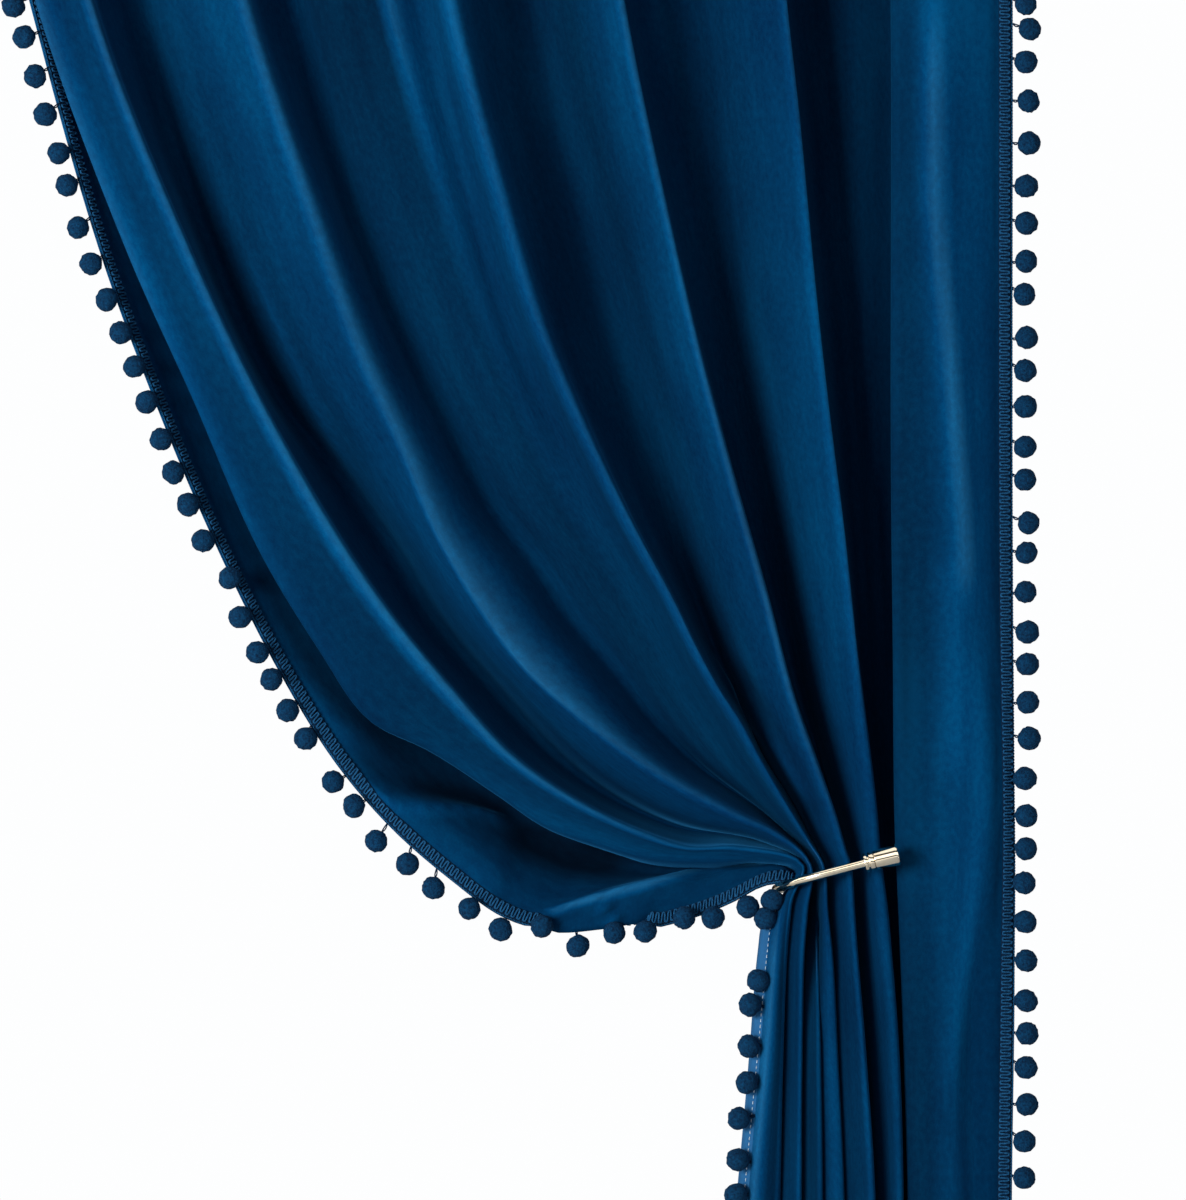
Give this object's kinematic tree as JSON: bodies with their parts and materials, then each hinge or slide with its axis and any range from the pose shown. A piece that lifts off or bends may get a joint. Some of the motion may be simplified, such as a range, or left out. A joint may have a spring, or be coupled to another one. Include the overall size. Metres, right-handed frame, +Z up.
{
  "type": "pompom-trimmed velvet drape with metal holdback",
  "caption": "Hanging velvet drape with pompom trim on both side edges, gathered to one side by a wall-mounted metal holdback and falling below it in narrow pleats.",
  "frame": {"origin": "middle of the panel's top edge, where its heading hangs", "axes": "+Z up along the hang of the cloth, +Y from the front of the cloth to the wall, +X from the leading edge to the back edge"},
  "size_m": [0.9179, 0.1516, 2.1302],
  "materials": {
    "velvet": "deep blue short-pile velvet with a soft sheen",
    "trim_yarn": "matt blue yarn: gimp braid and wound pompoms",
    "gold_metal": "polished light gold"
  },
  "bodies": {
    "root": {"drape_panel": "velvet", "trim_leading": "trim_yarn", "trim_back": "trim_yarn", "holdback_plate": "gold_metal", "holdback_arm": "gold_metal", "holdback_collar": "gold_metal", "holdback_finial": "gold_metal"}
  },
  "joints": []
}
